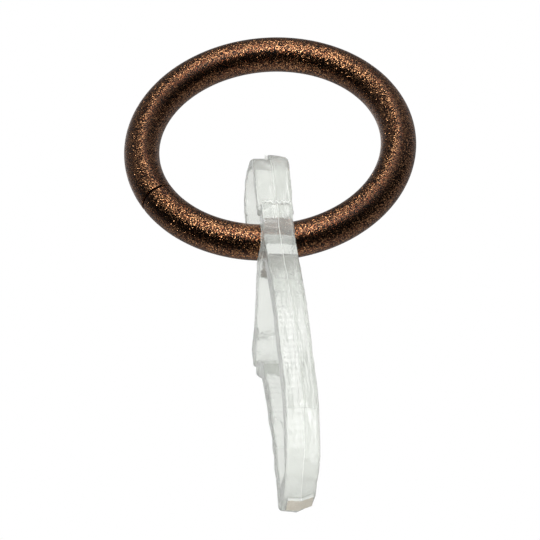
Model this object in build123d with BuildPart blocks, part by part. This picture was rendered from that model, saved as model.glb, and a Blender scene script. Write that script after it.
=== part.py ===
from build123d import *
import os
from math import cos, radians, sin, tan

# Curtain ring with a clip-on hook, in millimetres, hanging as it does on its rod.
# The origin is the ring's centre, +Y runs along the rod and +Z is up.

# Ring: round wire bent into a circle, its two ends meeting at an open butt joint
wire_diameter = 4.0
ring_inner_diameter = 25.0
split_angle = 208.0
split_gap_inside = 0.12
split_gap_outside = 0.3
split_edge_round = 0.25

# How the hook hangs: just off the ring's lowest point, turned a little about the vertical
hook_offset = -0.8
hook_turn = 12.0

# Moulding: two drafted halves that meet at the middle of the thickness
body_thickness = 3.4
clip_width = 4.0
draft_angle = 4.0
edge_round = 0.3

# Clip: an arch over the wire, with play for the hook to slide, turn and swing
clip_side_play = 0.65
clip_wall = 1.35
clip_rise = 7.1
clip_front_end = 0.9
clip_back_end = 1.0
clip_end_round = 0.6
seat_clearance = 0.3
seat_corner = 1.4
seat_back = 0.5

# Front limb: heights are measured from the wire's centre, and reach is towards the front
limb_depth = 2.1
limb_proud = 0.7
limb_top = 2.3
limb_bend = 30.0
neck_height = -3.0
shoulder_height = -14.0
shoulder_reach = 7.3
belly_height = -28.5
belly_reach = 8.5
belly_bend = 14.0
heel_height = -33.8
heel_reach = 6.7

# Foot: the bend at the bottom, with the low scar of the moulding gate under it
foot_height = -36.9
foot_reach = 3.0
foot_wall = 2.7
foot_round = 1.3
toe_height = -36.4
toe_reach = 0.0
gate_length = 0.2
gate_depth = 1.6
gate_width = 2.7
gate_reach = 2.6

# Return leg: rises from the foot, then flares to the back under the guard's nose
leg_depth = 2.0
leg_bend_height = -26.5
leg_bend_reach = -0.6
flare_height = -17.0
flare_back = 3.0
flare_angle = 45.0
flare_bend = 1.5
tip_round = 0.8

# Guard: slopes down and back from under the seat, and ends in a rounded nose over the leg's tip
guard_root = 3.1
guard_depth = 2.2
guard_bend_height = -8.1
guard_bend_back = 4.7
nose_height = -9.0
nose_back = 7.4
nose_length = 3.35
nose_depth = 2.9
nose_round = 1.3
mouth_gap = 0.45
pocket_round = 0.9

wire_radius = wire_diameter / 2
ring_radius = ring_inner_diameter / 2 + wire_radius
clip_half_gap = wire_radius + clip_side_play
clip_half_depth = clip_half_gap + clip_wall
nose_bottom = nose_height - nose_length
tip_top = nose_bottom - mouth_gap
tip_back = flare_back + (tip_top - flare_height) / tan(radians(flare_angle))
tip_depth = leg_depth / sin(radians(flare_angle))

# The hook is drawn flat, x to the back and y up from the wire's centre, then stood in this plane
hook_plane = Plane(
    origin=(hook_offset, 0, -ring_radius),
    x_dir=(-sin(radians(hook_turn)), cos(radians(hook_turn)), 0),
    z_dir=(cos(radians(hook_turn)), sin(radians(hook_turn)), 0),
)

# The ring's own plane, its x pointing out through the middle of the butt joint
split_plane = Plane(
    origin=(0, 0, 0),
    x_dir=(cos(radians(split_angle)), 0, sin(radians(split_angle))),
    z_dir=(0, -1, 0),
)


# The corner between two runs of the outline, moved in by the depth of the wall that follows them
def inside_corner(before, corner, after, depth):
    first_run = (Vector(corner) - Vector(before)).normalized()
    second_run = (Vector(after) - Vector(corner)).normalized()
    first_inward = Vector(-first_run.Y, first_run.X)
    second_inward = Vector(-second_run.Y, second_run.X)
    share = depth / (1 + first_inward.dot(second_inward))
    return Vector(corner) + (first_inward + second_inward) * share


# The place where the inside face of a wall along one run comes to a given height
def inside_at(start, end, depth, height):
    run = Vector(end) - Vector(start)
    inward = Vector(-run.Y, run.X).normalized() * depth
    inside_start = Vector(start) + inward
    return inside_start + run * ((height - inside_start.Y) / run.Y)


# Corners of the body's outline, down the front and up the back
limb_start = (-clip_half_depth - limb_proud, limb_top)
neck = (-clip_half_depth - limb_proud, neck_height)
shoulder = (-shoulder_reach, shoulder_height)
belly = (-belly_reach, belly_height)
heel = (-heel_reach, heel_height)
foot = (-foot_reach, foot_height)
toe = (-toe_reach, toe_height)
leg_bend = (-leg_bend_reach, leg_bend_height)
flare = (flare_back, flare_height)
tip = (tip_back, tip_top)
nose = (nose_back, nose_height)
guard_bend = (guard_bend_back, guard_bend_height)
seat_end = (seat_back, -wire_radius - seat_clearance)
seat_start = (-clip_half_gap, -wire_radius - seat_clearance)
pocket_top = seat_end[1] - guard_root
pocket_floor = foot_height + foot_wall

# Each corner of the body's profile with its radius, round the outside and then round the pocket
body_corners = [
    ((-clip_half_gap, limb_top), 0),
    (limb_start, clip_end_round),
    (neck, limb_bend),
    (shoulder, limb_bend),
    (belly, belly_bend),
    (heel, foot_round),
    (foot, foot_round),
    (toe, foot_round),
    (leg_bend, limb_bend),
    (flare, flare_bend),
    (tip, tip_round),
    ((tip_back - tip_depth, tip_top), tip_round),
    (inside_corner(leg_bend, flare, tip, leg_depth), flare_bend),
    (inside_corner(toe, leg_bend, flare, leg_depth), limb_bend),
    (inside_at(toe, leg_bend, leg_depth, pocket_floor), pocket_round),
    (inside_at(belly, heel, limb_depth, pocket_floor), pocket_round),
    (inside_corner(shoulder, belly, heel, limb_depth), belly_bend - limb_depth),
    (inside_corner(neck, shoulder, belly, limb_depth), limb_bend),
    (inside_at(neck, shoulder, limb_depth, pocket_top), pocket_round),
    (inside_at(guard_bend, seat_end, guard_depth, pocket_top), pocket_round),
    (inside_corner(nose, guard_bend, seat_end, guard_depth), pocket_round),
    ((nose_back - nose_depth, nose_bottom), tip_round),
    ((nose_back, nose_bottom), nose_round),
    (nose, nose_round),
    (guard_bend, nose_round),
    (seat_end, tip_round),
    (seat_start, seat_corner),
]

# The ring, cut through by a thin wedge that is wider at the outside
with BuildPart() as ring:
    with BuildSketch(Plane.XY):
        with Locations((ring_radius, 0)):
            Circle(wire_radius)
    revolve(axis=Axis.Y)
    with BuildSketch(split_plane):
        with BuildLine():
            Polyline(
                (ring_radius - wire_diameter, -split_gap_inside / 2),
                (ring_radius + wire_diameter, -split_gap_outside / 2),
                (ring_radius + wire_diameter, split_gap_outside / 2),
                (ring_radius - wire_diameter, split_gap_inside / 2),
                close=True,
            )
        make_face()
    extrude(amount=wire_diameter, both=True, mode=Mode.SUBTRACT)
    fillet(ring.faces().filter_by(GeomType.PLANE).edges(), split_edge_round)

# Half of the clip, an arch whose short back limb leaves the way in for the wire
with BuildPart() as clip_half:
    with BuildSketch() as clip_profile:
        with BuildLine():
            front = Line((-clip_half_depth, clip_front_end), (-clip_half_depth, clip_rise))
            crown = ThreePointArc(front @ 1, (0, clip_rise + clip_half_depth), (clip_half_depth, clip_rise))
            back = Line(crown @ 1, (clip_half_depth, clip_back_end))
            back_end = Line(back @ 1, (clip_half_gap, clip_back_end))
            back_inside = Line(back_end @ 1, (clip_half_gap, clip_rise))
            roof = ThreePointArc(back_inside @ 1, (0, clip_rise + clip_half_gap), (-clip_half_gap, clip_rise))
            front_inside = Line(roof @ 1, (-clip_half_gap, clip_front_end))
            Line(front_inside @ 1, front @ 0)
        make_face()
        clip_ends = clip_profile.vertices().filter_by(lambda corner: corner.Y < clip_rise)
        fillet(clip_ends, clip_end_round)
    extrude(amount=clip_width / 2)
    draft(clip_half.faces().filter_by(Axis.Z, reverse=True), Plane.XY, draft_angle)
    fillet(clip_half.faces().sort_by(Axis.Z)[-1].edges(), edge_round)

# Half of the body: seat, front limb, foot, return leg and guard in one profile
with BuildPart() as body_half:
    with BuildSketch():
        with BuildLine():
            FilletPolyline(
                [corner for corner, radius in body_corners],
                radius=[radius for corner, radius in body_corners],
                close=True,
            )
        make_face()
    extrude(amount=body_thickness / 2)
    draft(body_half.faces().filter_by(Axis.Z, reverse=True), Plane.XY, draft_angle)
    fillet(body_half.faces().sort_by(Axis.Z)[-1].edges(), edge_round)

# The whole moulding, still flat: two like halves and the scar of the gate under the foot
with BuildPart() as moulding:
    add(clip_half.part)
    add(body_half.part)
    mirror(about=Plane.XY)
    with Locations((-gate_reach, foot_height)):
        Box(gate_depth, 2 * gate_length, gate_width)

# The hook where it hangs on the ring
with BuildPart() as hook:
    with Locations(hook_plane.location):
        add(moulding.part)

ring.part.label = "ring"
hook.part.label = "hook"

os.makedirs("parts", exist_ok=True)
export_step(ring.part, "parts/ring.step")
export_step(hook.part, "parts/hook.step")
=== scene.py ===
import random
from math import cos, pi, radians, sin

import bpy
from mathutils import Matrix, Vector, noise


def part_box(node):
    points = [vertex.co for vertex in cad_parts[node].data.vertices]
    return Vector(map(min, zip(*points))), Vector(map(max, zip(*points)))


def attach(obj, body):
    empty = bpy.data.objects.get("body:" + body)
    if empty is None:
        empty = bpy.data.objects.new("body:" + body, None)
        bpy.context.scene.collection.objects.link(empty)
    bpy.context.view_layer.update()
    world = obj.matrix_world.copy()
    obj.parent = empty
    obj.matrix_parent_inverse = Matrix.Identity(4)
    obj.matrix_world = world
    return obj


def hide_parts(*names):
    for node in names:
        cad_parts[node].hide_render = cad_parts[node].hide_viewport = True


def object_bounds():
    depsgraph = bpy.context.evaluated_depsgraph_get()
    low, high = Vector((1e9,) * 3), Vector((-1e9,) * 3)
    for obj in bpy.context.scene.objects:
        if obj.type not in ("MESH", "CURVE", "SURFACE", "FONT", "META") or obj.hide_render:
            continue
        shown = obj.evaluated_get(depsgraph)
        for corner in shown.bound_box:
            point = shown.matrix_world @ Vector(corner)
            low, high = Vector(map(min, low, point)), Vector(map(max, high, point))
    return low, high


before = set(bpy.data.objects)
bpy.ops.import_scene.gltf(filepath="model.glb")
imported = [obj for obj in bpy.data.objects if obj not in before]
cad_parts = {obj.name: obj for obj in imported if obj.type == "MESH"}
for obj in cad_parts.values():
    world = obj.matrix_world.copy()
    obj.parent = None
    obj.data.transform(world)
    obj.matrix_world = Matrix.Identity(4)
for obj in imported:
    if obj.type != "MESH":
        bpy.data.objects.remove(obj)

bl_info = {
    "name": "Curtain ring with hook",
    "version": (1, 0, 0),
    "blender": (4, 5, 0),
    "location": "View3D > Sidebar > Curtain ring",
    "description": "Models the painted wire ring and its clear hook, and sets a plain studio round them",
    "category": "Object",
}

# The CAD model's box, kept before any piece is added
cad_low, cad_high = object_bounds()

# The wire's thickness, the ring's size and the height of the wire under the hook come from the ring
ring_low, ring_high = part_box("ring")
wire_diameter = ring_high.y - ring_low.y
ring_diameter = ring_high.x - ring_low.x
wire_height = (wire_diameter - ring_diameter) / 2
hook_low, hook_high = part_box("hook")

MILLIMETRE = 0.001

# The front limb leans back between these heights over the wire's middle, as far as the clip's front face
LEDGE_BOTTOM = 1.3 * MILLIMETRE
LEDGE_TOP = 2.35 * MILLIMETRE
CLIP_FRONT = -4.02 * MILLIMETRE

# The hook's faces and edges wander once in about this length, and alike in each run
WANDER = 1.3 * MILLIMETRE
WANDER_SEED = 12
noise.seed_set(WANDER_SEED)

# The crown's step starts at this height over the wire's middle, and its riser is this thin
STEP_BOTTOM = 5 * MILLIMETRE
STEP_WIDTH = 0.04 * MILLIMETRE

# The foot slopes below this height over the hook's lowest place
FOOT_TOP = 2 * MILLIMETRE

# Grain of the torn scar, how uneven it is, and the length in which the flash goes from thin to thick
SCAR_GRAIN = 0.2 * MILLIMETRE
SCAR_DEPTH = 0.08 * MILLIMETRE
FLASH_GRAIN = 0.4 * MILLIMETRE

# Flash counts as front flash this close behind the foremost place within this height of it
FRONT_DEPTH = 1.3 * MILLIMETRE
FRONT_HEIGHT = 4 * MILLIMETRE

# Thickness of the flash in flash radii, with the least and most that its ragged edge varies by
FRONT_FLASH = 1.0
TRIMMED_FLASH = 0.3
LEDGE_FLASH = 2.6
NUB_FLASH = 3.2
LEAST_FLASH, MOST_FLASH = 0.5, 1.3
LEAST_RIDGE, MOST_RIDGE = 0.6, 1.4
FLASH_SEED = 3

# A wave texture of scale 1 repeats once in this length
WAVE_BAND = pi / 10


class RingSettings(bpy.types.PropertyGroup):
    """Sizes and colours of the painted wire ring"""

    outer_diameter: bpy.props.FloatProperty(
        name="Outer diameter",
        description="Diameter of the ring over the wire",
        default=ring_diameter,
        unit="LENGTH",
    )
    wire_diameter: bpy.props.FloatProperty(
        name="Wire diameter",
        description="Thickness of the wire with its paint",
        default=wire_diameter,
        unit="LENGTH",
    )
    joint_angle: bpy.props.FloatProperty(
        name="Joint angle",
        description="Where the wire's ends meet, from the ring's right towards its top",
        default=radians(208),
        subtype="ANGLE",
    )
    joint_gap: bpy.props.FloatProperty(
        name="Joint gap",
        description="Gap between the wire's ends at the ring's inside",
        default=0.04 * MILLIMETRE,
        unit="LENGTH",
    )
    joint_opening: bpy.props.FloatProperty(
        name="Joint opening",
        description="Angle by which the gap opens towards the ring's outside",
        default=radians(3.8),
        subtype="ANGLE",
    )
    end_round: bpy.props.FloatProperty(
        name="End rounding",
        description="Radius of the painted edge round each end of the wire",
        default=0.10 * MILLIMETRE,
        unit="LENGTH",
    )
    ring_steps: bpy.props.IntProperty(
        name="Steps round the ring",
        description="Number of stretches that the wire is bent in",
        default=240,
        min=24,
    )
    wire_steps: bpy.props.IntProperty(
        name="Steps round the wire",
        description="Number of sides of the wire",
        default=48,
        min=12,
    )
    ground_colour: bpy.props.StringProperty(
        name="Ground colour",
        description="Near black between the flakes, as an sRGB hex value",
        default="0E0806",
    )
    paint_colour: bpy.props.StringProperty(
        name="Paint colour",
        description="Brown of the flakes that lie deeper, as an sRGB hex value",
        default="7E462A",
    )
    flake_colour: bpy.props.StringProperty(
        name="Flake colour",
        description="Copper of the brightest flakes, as an sRGB hex value",
        default="FFC088",
    )
    flake_slope: bpy.props.FloatProperty(
        name="Flake slope",
        description="How far the flakes lean out of the surface, 1 being all ways",
        default=0.42,
    )
    flake_size: bpy.props.FloatProperty(
        name="Flake size",
        description="Width of one metal flake in the paint, drawn coarser than real so that it shows",
        default=0.085 * MILLIMETRE,
        unit="LENGTH",
    )


class HookSettings(bpy.types.PropertyGroup):
    """Sizes and colours of the clear moulded hook"""

    middle: bpy.props.FloatProperty(
        name="Middle",
        description="Where the hook's middle plane crosses the ring's middle, along X",
        default=-0.8 * MILLIMETRE,
        unit="LENGTH",
    )
    turn: bpy.props.FloatProperty(
        name="Turn",
        description="How far the hook is turned about the vertical",
        default=radians(12),
        subtype="ANGLE",
    )
    half_thickness: bpy.props.FloatProperty(
        name="Half thickness",
        description="Half the thickness of the limbs, from the middle plane to a side",
        default=1.7 * MILLIMETRE,
        unit="LENGTH",
    )
    crown_step: bpy.props.FloatProperty(
        name="Crown step",
        description="How far the crown's right half stands above its left, as the mould's halves met badly",
        default=0.55 * MILLIMETRE,
        unit="LENGTH",
    )
    ledge_slope: bpy.props.FloatProperty(
        name="Ledge slope",
        description="How far the top of the front limb leans back to meet the clip",
        default=0.55 * MILLIMETRE,
        unit="LENGTH",
    )
    unevenness: bpy.props.FloatProperty(
        name="Unevenness",
        description="How far the moulding's faces and edges wander from true",
        default=0.09 * MILLIMETRE,
        unit="LENGTH",
    )
    foot_cut: bpy.props.FloatProperty(
        name="Foot cut",
        description="How far the foot's right edge is higher than its left",
        default=0.85 * MILLIMETRE,
        unit="LENGTH",
    )
    scar_height: bpy.props.FloatProperty(
        name="Scar height",
        description="How far the broken gate stands out under the foot",
        default=0.205 * MILLIMETRE,
        unit="LENGTH",
    )
    flash_radius: bpy.props.FloatProperty(
        name="Flash radius",
        description="Half the width of the fine line of flash where the mould's halves met",
        default=0.04 * MILLIMETRE,
        unit="LENGTH",
    )
    clear_colour: bpy.props.StringProperty(
        name="Clear colour",
        description="Tint of light that goes through the plastic, as an sRGB hex value",
        default="F6F8F4",
    )
    depth_colour: bpy.props.StringProperty(
        name="Depth colour",
        description="Colour that light takes on deep inside the plastic, as an sRGB hex value",
        default="D2D8D0",
    )
    depth_density: bpy.props.FloatProperty(
        name="Depth density",
        description="How fast light takes on the depth colour, for each metre of plastic",
        default=30.0,
    )
    scar_colour: bpy.props.StringProperty(
        name="Scar colour",
        description="Tint of the rough place where the gate was broken off, as an sRGB hex value",
        default="D3CCBF",
    )


class StageSettings(bpy.types.PropertyGroup):
    """Floor, light and camera"""

    floor_height: bpy.props.FloatProperty(
        name="Floor height",
        description="Height of the floor, well below the hanging ring",
        default=-0.45,
        unit="LENGTH",
    )
    floor_width: bpy.props.FloatProperty(
        name="Floor width",
        description="Width of the square floor",
        default=6.0,
        unit="LENGTH",
    )
    floor_colour: bpy.props.StringProperty(
        name="Floor colour",
        description="Pale floor, as an sRGB hex value",
        default="F2F2F0",
    )
    key_power: bpy.props.FloatProperty(
        name="Key power",
        description="Power of the large lamp in front",
        default=1.15,
        unit="POWER",
    )
    top_power: bpy.props.FloatProperty(
        name="Top power",
        description="Power of the lamp high up in front",
        default=0.19,
        unit="POWER",
    )
    low_power: bpy.props.FloatProperty(
        name="Low power",
        description="Power of the lamp below, which fills the undersides and shows in no reflection",
        default=1.95,
        unit="POWER",
    )
    back_power: bpy.props.FloatProperty(
        name="Back power",
        description="Power of the large dim lamp below and behind",
        default=0.4,
        unit="POWER",
    )
    side_power: bpy.props.FloatProperty(
        name="Side power",
        description="Power of the lamp at the back on the left, which the hook's side mirrors",
        default=0.11,
        unit="POWER",
    )
    camera_place: bpy.props.FloatVectorProperty(
        name="Camera place",
        description="Where the camera stands, in front and below",
        default=(-0.0012, -0.2111, -0.1991),
        subtype="TRANSLATION",
    )
    camera_rise: bpy.props.FloatProperty(
        name="Camera rise",
        description="How far the camera looks up",
        default=radians(40.56),
        subtype="ANGLE",
    )
    camera_roll: bpy.props.FloatProperty(
        name="Camera roll",
        description="How far the camera is turned about its own line of sight",
        default=radians(-4.98),
        subtype="ANGLE",
    )
    camera_lens: bpy.props.FloatProperty(
        name="Camera lens",
        description="Focal length on a 36 mm sensor",
        default=171.3,
        unit="CAMERA",
    )


def linear_colour(hex_value):
    """An sRGB hex value as linear red, green, blue and a full alpha"""
    shares = [int(hex_value[i:i + 2], 16) / 255 for i in (0, 2, 4)]
    linear = [c / 12.92 if c <= 0.04045 else ((c + 0.055) / 1.055) ** 2.4 for c in shares]
    return (*linear, 1.0)


def per_length(size):
    """Texture scale that repeats once in each stretch of this size"""
    return 1 / size


def add_node(tree, kind, inputs=None, **settings):
    """A new node with its settings, and its inputs as plain values or as links from other nodes' outputs"""
    node = tree.nodes.new(kind)
    for name, value in settings.items():
        setattr(node, name, value)
    for name, value in (inputs or {}).items():
        if isinstance(value, bpy.types.NodeSocket):
            tree.links.new(value, node.inputs[name])
        else:
            node.inputs[name].default_value = value
    return node


def new_material(name):
    """An empty node material with its output, as the pair of tree and output node"""
    material = bpy.data.materials.new(name)
    material.use_nodes = True
    material.node_tree.nodes.clear()
    output = add_node(material.node_tree, "ShaderNodeOutputMaterial")
    return material, material.node_tree, output


def deselect_all():
    """Leaves nothing selected, so that the next operator touches only its own piece"""
    for thing in bpy.context.selected_objects:
        thing.select_set(False)


def make_active(piece):
    """Selects one piece alone"""
    deselect_all()
    bpy.context.view_layer.objects.active = piece
    piece.select_set(True)


# Sprayed antique bronze paint under lacquer: near black ground with copper flakes that lie at
# slightly different slopes, so the lit side sparkles copper and the side in shade goes almost black.
# About one flake in five leans much further, and real flakes are finer than these, which have to show
def bronze_paint(settings):
    steepest_slope = 4 * settings.flake_slope
    material, tree, output = new_material("antique_bronze_flake_paint")
    place = add_node(tree, "ShaderNodeTexCoord")
    flakes = add_node(tree, "ShaderNodeTexVoronoi", {
        "Vector": place.outputs["Object"],
        "Scale": per_length(settings.flake_size),
        "Randomness": 1.0,
    }, feature="F1")
    flake_parts = add_node(tree, "ShaderNodeSeparateColor", {"Color": flakes.outputs["Color"]})
    brightness = add_node(tree, "ShaderNodeValToRGB", {"Fac": flake_parts.outputs["Red"]})
    ramp = brightness.color_ramp
    ramp.elements[0].position = 0.25
    ramp.elements[0].color = linear_colour(settings.ground_colour)
    ramp.elements[1].position = 1.0
    ramp.elements[1].color = linear_colour(settings.flake_colour)
    middle = ramp.elements.new(0.65)
    middle.color = linear_colour(settings.paint_colour)
    surface = add_node(tree, "ShaderNodeNewGeometry")
    slope = add_node(tree, "ShaderNodeVectorMath", {
        0: flakes.outputs["Color"],
        1: (0.5, 0.5, 0.5),
    }, operation="SUBTRACT")
    chance = add_node(tree, "ShaderNodeTexWhiteNoise", {"Vector": flakes.outputs["Position"]})
    lean = add_node(tree, "ShaderNodeMapRange", {
        "Value": chance.outputs["Value"],
        "From Min": 0.80,
        "From Max": 1.0,
        "To Min": settings.flake_slope,
        "To Max": steepest_slope,
    })
    small_slope = add_node(tree, "ShaderNodeVectorMath", {
        0: slope.outputs[0],
        "Scale": lean.outputs[0],
    }, operation="SCALE")
    tilted = add_node(tree, "ShaderNodeVectorMath", {
        0: surface.outputs["Normal"],
        1: small_slope.outputs[0],
    }, operation="ADD")
    flake_normal = add_node(tree, "ShaderNodeVectorMath", {0: tilted.outputs[0]}, operation="NORMALIZE")
    paint = add_node(tree, "ShaderNodeBsdfPrincipled", {
        "Base Color": brightness.outputs["Color"],
        "Metallic": 1.0,
        "Roughness": 0.27,
        "Normal": flake_normal.outputs[0],
        "Coat Weight": 0.4,
        "Coat Roughness": 0.40,
    })
    tree.links.new(paint.outputs["BSDF"], output.inputs["Surface"])
    return material


# Injection moulded clear polystyrene, a little hazy: it lets light through and blurs what lies behind,
# goes grey where light runs a long way inside it, and has streaks of flow along it and ripples across it.
# Towards the gate at the foot it is cloudier
def clear_plastic(settings):
    material, tree, output = new_material("moulded_clear_polystyrene")
    place = add_node(tree, "ShaderNodeTexCoord")
    along = add_node(tree, "ShaderNodeMapping", {
        "Vector": place.outputs["Object"],
        "Rotation": (0, 0, -settings.turn),
        "Scale": (1, 1, 0.14),
    })
    streaks = add_node(tree, "ShaderNodeTexNoise", {
        "Vector": along.outputs["Vector"],
        "Scale": per_length(0.5 * MILLIMETRE),
        "Detail": 3.0,
    })
    ripples = add_node(tree, "ShaderNodeTexWave", {
        "Vector": place.outputs["Object"],
        "Scale": WAVE_BAND * per_length(0.8 * MILLIMETRE),
        "Distortion": 3.0,
        "Detail": 2.0,
        "Detail Scale": 0.6,
    }, bands_direction="Z")
    flow = add_node(tree, "ShaderNodeMath", {
        0: ripples.outputs["Fac"],
        1: 0.10,
        2: streaks.outputs["Fac"],
    }, operation="MULTIPLY_ADD")
    bump = add_node(tree, "ShaderNodeBump", {
        "Strength": 0.5,
        "Distance": 0.22 * MILLIMETRE,
        "Height": flow.outputs[0],
    })
    haze = add_node(tree, "ShaderNodeMapRange", {
        "Value": streaks.outputs["Fac"],
        "From Min": 0.3,
        "From Max": 0.7,
        "To Min": 0.10,
        "To Max": 0.25,
    })
    height = add_node(tree, "ShaderNodeSeparateXYZ", {"Vector": place.outputs["Object"]})
    clearness = add_node(tree, "ShaderNodeMapRange", {
        "Value": height.outputs["Z"],
        "From Min": -49 * MILLIMETRE,
        "From Max": -41 * MILLIMETRE,
        "To Min": 0.58,
        "To Max": 0.80,
    })
    plastic = add_node(tree, "ShaderNodeBsdfPrincipled", {
        "Base Color": linear_colour(settings.clear_colour),
        "Transmission Weight": clearness.outputs[0],
        "Roughness": haze.outputs[0],
        "IOR": 1.5,
        "Normal": bump.outputs["Normal"],
    })
    depth = add_node(tree, "ShaderNodeVolumeAbsorption", {
        "Color": linear_colour(settings.depth_colour),
        "Density": settings.depth_density,
    })
    tree.links.new(plastic.outputs["BSDF"], output.inputs["Surface"])
    tree.links.new(depth.outputs["Volume"], output.inputs["Volume"])
    return material


# The same plastic torn where the gate was broken off: frosted, beige and rough, with no clear view in
def torn_plastic(settings):
    material, tree, output = new_material("torn_polystyrene_gate_scar")
    place = add_node(tree, "ShaderNodeTexCoord")
    grain = add_node(tree, "ShaderNodeTexNoise", {
        "Vector": place.outputs["Object"],
        "Scale": per_length(0.35 * MILLIMETRE),
        "Detail": 4.0,
    })
    bump = add_node(tree, "ShaderNodeBump", {
        "Strength": 0.8,
        "Distance": 0.08 * MILLIMETRE,
        "Height": grain.outputs["Fac"],
    })
    torn = add_node(tree, "ShaderNodeBsdfPrincipled", {
        "Base Color": linear_colour(settings.scar_colour),
        "Transmission Weight": 0.25,
        "Roughness": 0.6,
        "IOR": 1.5,
        "Normal": bump.outputs["Normal"],
    })
    tree.links.new(torn.outputs["BSDF"], output.inputs["Surface"])
    return material


# Thin flash of the same plastic: white with fine cracks, as bent polystyrene goes
def thin_plastic(settings):
    material, tree, output = new_material("thin_polystyrene_flash")
    place = add_node(tree, "ShaderNodeTexCoord")
    grain = add_node(tree, "ShaderNodeTexNoise", {
        "Vector": place.outputs["Object"],
        "Scale": per_length(0.5 * MILLIMETRE),
        "Detail": 2.0,
    })
    haze = add_node(tree, "ShaderNodeMapRange", {
        "Value": grain.outputs["Fac"],
        "From Min": 0.3,
        "From Max": 0.7,
        "To Min": 0.1,
        "To Max": 0.4,
    })
    flash = add_node(tree, "ShaderNodeBsdfPrincipled", {
        "Base Color": linear_colour(settings.clear_colour),
        "Transmission Weight": 0.15,
        "Roughness": haze.outputs[0],
        "IOR": 1.5,
    })
    tree.links.new(flash.outputs["BSDF"], output.inputs["Surface"])
    return material


# Matt white laminate board, paler to the camera towards its edge, so that it ends in the white beyond
def matt_floor(settings):
    material, tree, output = new_material("matt_pale_floor")
    path = add_node(tree, "ShaderNodeLightPath")
    seen = add_node(tree, "ShaderNodeMath", {
        0: path.outputs["Is Camera Ray"],
        1: path.outputs["Is Transmission Ray"],
    }, operation="MAXIMUM")
    place = add_node(tree, "ShaderNodeTexCoord")
    distance = add_node(tree, "ShaderNodeVectorMath", {0: place.outputs["Object"]}, operation="LENGTH")
    whiteness = add_node(tree, "ShaderNodeMapRange", {
        "Value": distance.outputs["Value"],
        "From Min": -settings.floor_height,
        "From Max": settings.floor_width / 2,
        "To Min": 0.3,
        "To Max": 0.56,
    })
    paleness = add_node(tree, "ShaderNodeMath", {
        0: seen.outputs[0],
        1: whiteness.outputs[0],
    }, operation="MULTIPLY")
    matt = add_node(tree, "ShaderNodeBsdfPrincipled", {
        "Base Color": linear_colour(settings.floor_colour),
        "Roughness": 0.8,
        "Emission Color": (1, 1, 1, 1),
        "Emission Strength": paleness.outputs[0],
    })
    tree.links.new(matt.outputs["BSDF"], output.inputs["Surface"])
    return material


# Black cloth with a painted glow near its top and at its back, emission in place of light falling on it,
# which the paint mirrors as soft bands
def tent_cloth():
    material, tree, output = new_material("black_tent_with_painted_glow")
    place = add_node(tree, "ShaderNodeTexCoord")
    height = add_node(tree, "ShaderNodeSeparateXYZ", {"Vector": place.outputs["Object"]})
    # Painted light: the cloth's emission rises towards its top and its back, standing in for lamp light on it
    glow = add_node(tree, "ShaderNodeValToRGB", {"Fac": height.outputs["Z"]})
    ramp = glow.color_ramp
    ramp.elements[0].position = 0.30
    ramp.elements[0].color = (0.005, 0.005, 0.005, 1)
    ramp.elements[1].position = 0.90
    ramp.elements[1].color = (0.12, 0.12, 0.12, 1)
    for position in (0.65, 0.88):
        ramp.elements.new(position).color = (0.3, 0.3, 0.3, 1)
    far_glow = add_node(tree, "ShaderNodeMapRange", {
        "Value": height.outputs["Y"],
        "From Min": -0.05,
        "From Max": 0.22,
        "To Max": 0.25,
    })
    level = add_node(tree, "ShaderNodeMath", {
        0: glow.outputs["Color"],
        1: far_glow.outputs[0],
    }, operation="MAXIMUM")
    cloth = add_node(tree, "ShaderNodeEmission", {"Strength": level.outputs[0]})
    tree.links.new(cloth.outputs["Emission"], output.inputs["Surface"])
    return material


def white_studio():
    """A world that lights softly from all round and is plain white where it is seen"""
    world = bpy.data.worlds.new("white_studio")
    world.use_nodes = True
    tree = world.node_tree
    tree.nodes.clear()
    path = add_node(tree, "ShaderNodeLightPath")
    seen = add_node(tree, "ShaderNodeMath", {
        0: path.outputs["Is Camera Ray"],
        1: path.outputs["Is Glossy Ray"],
    }, operation="MAXIMUM")
    shown = add_node(tree, "ShaderNodeMath", {
        0: seen.outputs[0],
        1: path.outputs["Is Transmission Ray"],
    }, operation="MAXIMUM")
    level = add_node(tree, "ShaderNodeMapRange", {
        "Value": shown.outputs[0],
        "To Min": 0.5,
        "To Max": 1.0,
    })
    light = add_node(tree, "ShaderNodeBackground", {
        "Color": (1, 1, 1, 1),
        "Strength": level.outputs[0],
    })
    sky = add_node(tree, "ShaderNodeOutputWorld")
    tree.links.new(light.outputs[0], sky.inputs["Surface"])
    return world


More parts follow.
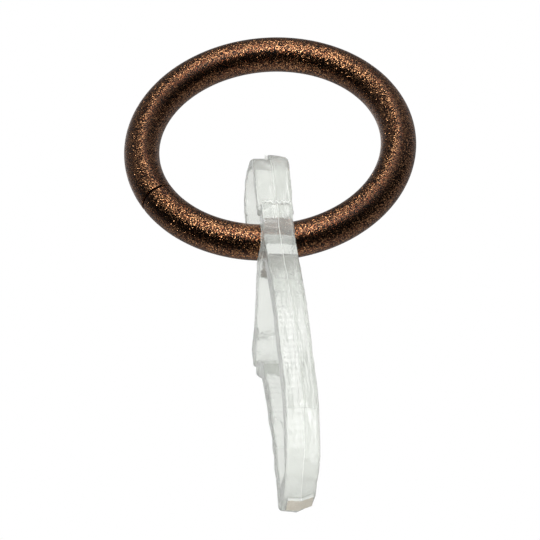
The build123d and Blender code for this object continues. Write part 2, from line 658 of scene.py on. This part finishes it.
class CURTAIN_OT_painted_ring(bpy.types.Operator):
    """Bends the wire into a ring with a butt joint and paints it"""

    bl_idname = "curtain.painted_ring"
    bl_label = "Painted ring"

    def execute(self, context):
        settings = context.scene.curtain_ring
        wire_radius = settings.wire_diameter / 2
        ring_radius = settings.outer_diameter / 2 - wire_radius
        half_gap = settings.joint_gap / ring_radius / 2
        start = settings.joint_angle - half_gap
        deselect_all()
        bpy.ops.mesh.primitive_circle_add(
            vertices=settings.wire_steps,
            radius=wire_radius,
            location=(ring_radius * cos(start), 0, ring_radius * sin(start)),
            rotation=(0, -start, 0),
        )
        piece = context.object
        piece.name = "painted_ring"
        bpy.ops.object.transform_apply(location=True, rotation=True, scale=True)
        bpy.ops.object.mode_set(mode="EDIT")
        bpy.ops.mesh.select_all(action="SELECT")
        bpy.ops.mesh.spin(
            steps=settings.ring_steps,
            angle=2 * pi - 2 * half_gap,
            center=(0, 0, 0),
            axis=(0, 1, 0),
        )
        last = settings.joint_angle + half_gap
        inner_radius = ring_radius - wire_radius
        bpy.ops.transform.rotate(
            value=-settings.joint_opening,
            orient_axis="Y",
            center_override=(inner_radius * cos(last), 0, inner_radius * sin(last)),
        )
        bpy.ops.mesh.select_all(action="SELECT")
        bpy.ops.mesh.remove_doubles(threshold=0.001 * MILLIMETRE)
        bpy.ops.mesh.select_all(action="SELECT")
        bpy.ops.mesh.fill_holes(sides=0)
        bpy.ops.mesh.select_all(action="SELECT")
        bpy.ops.mesh.normals_make_consistent(inside=False)
        bpy.ops.mesh.select_all(action="DESELECT")
        bpy.ops.mesh.select_mode(type="EDGE")
        bpy.ops.mesh.edges_select_sharp(sharpness=radians(60))
        bpy.ops.mesh.bevel(offset=settings.end_round, segments=5, affect="EDGES")
        bpy.ops.object.mode_set(mode="OBJECT")
        bpy.ops.object.shade_smooth_by_angle(angle=radians(35))
        piece.data.materials.append(bronze_paint(settings))
        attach(piece, "ring")
        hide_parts("ring")
        return {"FINISHED"}


def hook_copy(name):
    """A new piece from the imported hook's mesh, merged into one skin and cut across so that it can wander"""
    piece = bpy.data.objects.new(name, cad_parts["hook"].data.copy())
    bpy.context.collection.objects.link(piece)
    piece.data.materials.clear()
    make_active(piece)
    bpy.ops.mesh.customdata_custom_splitnormals_clear()
    bpy.ops.object.mode_set(mode="EDIT")
    bpy.ops.mesh.select_all(action="SELECT")
    bpy.ops.mesh.remove_doubles(threshold=0.002 * MILLIMETRE)
    bpy.ops.mesh.dissolve_limited(angle_limit=radians(0.5))
    levels = [wire_height + LEDGE_BOTTOM]
    level = hook_low.z + WANDER
    while level < hook_high.z:
        levels.append(level)
        level += WANDER
    for level in levels:
        bpy.ops.mesh.select_all(action="SELECT")
        bpy.ops.mesh.bisect(plane_co=(0, 0, level), plane_no=(0, 0, 1))
    return piece


def across(settings, place):
    """How far a place is to the right of the hook's middle plane"""
    return (place.x - settings.middle) * cos(settings.turn) + place.y * sin(settings.turn)


def hook_place(settings, right, back, up):
    """A place given by its distances to the right, back and up from the wire's middle, as the hook hangs"""
    x = settings.middle + right * cos(settings.turn) - back * sin(settings.turn)
    y = right * sin(settings.turn) + back * cos(settings.turn)
    return Vector((x, y, wire_height + up))


def lean_ledge(settings, place):
    """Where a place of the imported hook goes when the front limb's top leans back to the clip"""
    right = across(settings, place)
    back = place.y * cos(settings.turn) - (place.x - settings.middle) * sin(settings.turn)
    up = place.z - wire_height
    if back < CLIP_FRONT and LEDGE_BOTTOM < up < LEDGE_TOP:
        lean = settings.ledge_slope * (up - LEDGE_BOTTOM) / (LEDGE_TOP - LEDGE_BOTTOM)
        back = min(back + lean, CLIP_FRONT)
    return hook_place(settings, right, back, up)


def wander(settings, place):
    """Where a place of the hook goes on a moulding that isn't quite true, still inside the hook's box"""
    moved = place + noise.noise_vector(place / WANDER) * settings.unevenness
    return Vector([min(max(moved[i], hook_low[i]), hook_high[i]) for i in range(3)])


def ragged(place, least, most):
    """A thickness between the least and the most that varies from place to place, the same in each run"""
    share = (1 + noise.noise(place / FLASH_GRAIN)) / 2
    return least + (most - least) * share


def cut_hook(settings, right, **what):
    """Cuts the whole piece in edit mode along a plane beside the hook's middle plane"""
    bpy.ops.mesh.select_all(action="SELECT")
    bpy.ops.mesh.bisect(
        plane_co=hook_place(settings, right, 0, 0),
        plane_no=(cos(settings.turn), sin(settings.turn), 0),
        threshold=0.001 * MILLIMETRE,
        **what,
    )


def select_places(piece, wanted):
    """Selects in edit mode the vertices whose place is wanted, and nothing else"""
    bpy.ops.mesh.select_mode(type="VERT")
    bpy.ops.mesh.select_all(action="DESELECT")
    bpy.ops.object.mode_set(mode="OBJECT")
    for vertex in piece.data.vertices:
        vertex.select = wanted(vertex.co)
    bpy.ops.object.mode_set(mode="EDIT")


class CURTAIN_OT_clear_hook(bpy.types.Operator):
    """Skins the hook with clean faces in clear plastic, with the marks of its mould"""

    bl_idname = "curtain.clear_hook"
    bl_label = "Clear hook"

    def execute(self, context):
        settings = context.scene.curtain_hook
        piece = hook_copy("clear_hook")
        cut_hook(settings, 0)
        bpy.ops.mesh.mark_sharp()
        cut_hook(settings, STEP_WIDTH)

        # Under the foot the broken gate is torn and uneven
        piece.data.materials.append(clear_plastic(settings))
        piece.data.materials.append(torn_plastic(settings))
        select_places(piece, lambda place: place.z < hook_low.z + settings.scar_height)
        piece.active_material_index = 1
        bpy.ops.object.material_slot_assign()
        bpy.ops.mesh.subdivide(number_cuts=8)

        # The front limb leans back to the clip, no face is quite true, the crown's right half stands
        # above its left, and the foot slopes up to the right
        bpy.ops.object.mode_set(mode="OBJECT")
        for vertex in piece.data.vertices:
            place = lean_ledge(settings, vertex.co)
            if place.z < hook_low.z + settings.scar_height:
                place += noise.noise_vector(place / SCAR_GRAIN) * SCAR_DEPTH
            vertex.co = wander(settings, place)
            right = across(settings, vertex.co)
            if vertex.co.z > wire_height + STEP_BOTTOM and right > STEP_WIDTH / 2:
                vertex.co.z += settings.crown_step
            if vertex.co.z < hook_low.z + FOOT_TOP and right > 0:
                vertex.co.z += settings.foot_cut * right / settings.half_thickness
            vertex.co.z = max(vertex.co.z, hook_low.z)
        bpy.ops.object.mode_set(mode="EDIT")
        bpy.ops.mesh.select_all(action="SELECT")
        bpy.ops.mesh.normals_make_consistent(inside=False)
        bpy.ops.object.mode_set(mode="OBJECT")
        bpy.ops.object.shade_smooth_by_angle(angle=radians(30))
        bpy.ops.object.modifier_add(type="WEIGHTED_NORMAL")
        piece.modifiers[-1].keep_sharp = True
        bpy.ops.object.modifier_apply(modifier=piece.modifiers[-1].name)
        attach(piece, "hook")
        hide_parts("hook")
        return {"FINISHED"}


class CURTAIN_OT_parting_flash(bpy.types.Operator):
    """Runs a fine ragged line of flash round the hook where the mould's halves met"""

    bl_idname = "curtain.parting_flash"
    bl_label = "Parting flash"

    def add_ridge(self, curve, places, thickness, draw):
        """A short ragged ridge along some places, its thickness in flash radii"""
        ridge = curve.splines.new("POLY")
        ridge.points.add(len(places) - 1)
        for point, place in zip(ridge.points, places):
            point.co = (*place, 1)
            point.radius = thickness * draw.uniform(LEAST_RIDGE, MOST_RIDGE)

    def execute(self, context):
        settings = context.scene.curtain_hook
        draw = random.Random(FLASH_SEED)
        piece = hook_copy("parting_flash")
        cut_hook(settings, 0, clear_inner=True, clear_outer=True)
        bpy.ops.object.mode_set(mode="OBJECT")
        bpy.ops.object.convert(target="CURVE")
        curve = piece.data

        # The flash is thick down the front alone, where little was trimmed off
        points = [point for spline in curve.splines for point in spline.points]
        for point in points:
            front = min(other.co.y for other in points if abs(other.co.z - point.co.z) < FRONT_HEIGHT)
            thickness = FRONT_FLASH if point.co.y < front + FRONT_DEPTH else TRIMMED_FLASH
            point.radius = thickness * ragged(point.co.xyz, LEAST_FLASH, MOST_FLASH)
            place = wander(settings, lean_ledge(settings, point.co.xyz))
            place.z = max(place.z, hook_low.z + MOST_FLASH * settings.flash_radius)
            point.co = (*place, 1)

        # Torn flash across the ledge over the front limb, and a nub of it on the crown
        ledge_back = -4.38 * MILLIMETRE
        spacing = 0.2 * MILLIMETRE
        half_count = 7
        ledge = [
            hook_place(settings, i * spacing, ledge_back, draw.uniform(1.75, 2.25) * MILLIMETRE)
            for i in range(-half_count, half_count + 1)
        ]
        self.add_ridge(curve, ledge, LEDGE_FLASH, draw)
        nub_back = -2.6 * MILLIMETRE
        nub = [
            hook_place(settings, draw.uniform(-0.5, -0.2) * MILLIMETRE, nub_back, up * MILLIMETRE)
            for up in (9.9, 10.1, 10.3, 10.45, 10.6)
        ]
        self.add_ridge(curve, nub, NUB_FLASH, draw)
        curve.bevel_depth = settings.flash_radius
        curve.bevel_resolution = 1
        curve.use_fill_caps = True
        bpy.ops.object.convert(target="MESH")
        bpy.ops.object.shade_smooth()
        piece.data.materials.append(thin_plastic(settings))
        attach(piece, "hook")
        return {"FINISHED"}


class CURTAIN_OT_stage(bpy.types.Operator):
    """Sets the pale floor, the soft light and the camera"""

    bl_idname = "curtain.stage"
    bl_label = "Stage"

    def add_floor(self, context, settings):
        """The square floor, well below the ring"""
        deselect_all()
        bpy.ops.mesh.primitive_plane_add(
            size=settings.floor_width,
            location=(0, 0, settings.floor_height),
        )
        floor = context.object
        floor.name = "floor"
        bpy.ops.object.transform_apply(location=True, rotation=True, scale=True)
        floor.data.materials.append(matt_floor(settings))

    def add_camera(self, context, settings):
        """The camera, looking up at the ring from in front"""
        rise = Matrix.Rotation(pi / 2 + settings.camera_rise, 4, "X")
        roll = Matrix.Rotation(settings.camera_roll, 4, "Z")
        camera = bpy.data.objects.new("camera", bpy.data.cameras.new("camera"))
        context.collection.objects.link(camera)
        camera.data.lens = settings.camera_lens
        camera.data.sensor_width = 36
        camera.data.clip_start = 0.01
        camera.matrix_world = Matrix.Translation(settings.camera_place) @ rise @ roll
        context.scene.camera = camera

    def add_lamp(self, context, name, offset, size, power):
        """A soft lamp of this width and height, set off from the object's middle and facing it"""
        lamp = bpy.data.objects.new(name, bpy.data.lights.new(name, "AREA"))
        context.collection.objects.link(lamp)
        lamp.data.shape = "RECTANGLE"
        lamp.data.size, lamp.data.size_y = size
        lamp.data.energy = power
        lamp.location = (cad_low + cad_high) / 2 + Vector(offset)
        lamp.rotation_mode = "QUATERNION"
        lamp.rotation_quaternion = (-Vector(offset)).to_track_quat("-Z", "Y")
        lamp.visible_camera = False
        lamp.visible_transmission = False
        return lamp

    def add_lamps(self, context, settings):
        """The five lamps, in front, high up, below, at the side and behind"""
        self.add_lamp(
            context,
            "key_lamp",
            offset=(0.04, -0.50, 0.05),
            size=(0.46, 0.18),
            power=settings.key_power,
        )
        self.add_lamp(
            context,
            "top_lamp",
            offset=(0.10, -0.355, 0.335),
            size=(0.16, 0.10),
            power=settings.top_power,
        )
        low_lamp = self.add_lamp(
            context,
            "low_lamp",
            offset=(0, -0.30, -0.40),
            size=(0.4, 0.3),
            power=settings.low_power,
        )
        low_lamp.visible_glossy = False
        self.add_lamp(
            context,
            "side_lamp",
            offset=(-0.188, 0.41, 0.378),
            size=(0.25, 0.35),
            power=settings.side_power,
        )
        self.add_lamp(
            context,
            "back_lamp",
            offset=(0, 0.30, -0.36),
            size=(0.7, 0.5),
            power=settings.back_power,
        )

    def add_tent(self, context):
        """A dark tent round the lamps, which only reflections see"""
        deselect_all()
        bpy.ops.mesh.primitive_cube_add(size=1, location=(0, -0.225, 0.235))
        tent = context.object
        tent.name = "dark_tent"
        tent.scale = (1.6, 1.35, 1.33)
        bpy.ops.object.transform_apply(location=True, rotation=True, scale=True)
        tent.data.materials.append(tent_cloth())
        tent.visible_camera = False
        tent.visible_diffuse = False
        tent.visible_transmission = False
        tent.visible_shadow = False

    def execute(self, context):
        settings = context.scene.curtain_stage
        self.add_floor(context, settings)
        context.scene.world = white_studio()
        self.add_camera(context, settings)
        self.add_lamps(context, settings)
        self.add_tent(context)
        context.scene.view_settings.view_transform = "Standard"
        return {"FINISHED"}


class CURTAIN_PT_pieces(bpy.types.Panel):
    """Lists the pieces and the stage"""

    bl_idname = "CURTAIN_PT_pieces"
    bl_label = "Curtain ring"
    bl_space_type = "VIEW_3D"
    bl_region_type = "UI"
    bl_category = "Curtain ring"

    def draw(self, context):
        for operator in (
            CURTAIN_OT_painted_ring,
            CURTAIN_OT_clear_hook,
            CURTAIN_OT_parting_flash,
            CURTAIN_OT_stage,
        ):
            self.layout.operator(operator.bl_idname)


classes = (
    RingSettings,
    HookSettings,
    StageSettings,
    CURTAIN_OT_painted_ring,
    CURTAIN_OT_clear_hook,
    CURTAIN_OT_parting_flash,
    CURTAIN_OT_stage,
    CURTAIN_PT_pieces,
)


def register():
    for each in classes:
        bpy.utils.register_class(each)
    bpy.types.Scene.curtain_ring = bpy.props.PointerProperty(type=RingSettings)
    bpy.types.Scene.curtain_hook = bpy.props.PointerProperty(type=HookSettings)
    bpy.types.Scene.curtain_stage = bpy.props.PointerProperty(type=StageSettings)


def unregister():
    del bpy.types.Scene.curtain_stage
    del bpy.types.Scene.curtain_hook
    del bpy.types.Scene.curtain_ring
    for each in reversed(classes):
        bpy.utils.unregister_class(each)


def main():
    register()
    bpy.ops.curtain.painted_ring()
    bpy.ops.curtain.clear_hook()
    bpy.ops.curtain.parting_flash()
    bpy.ops.curtain.stage()


if __name__ == "__main__":
    main()
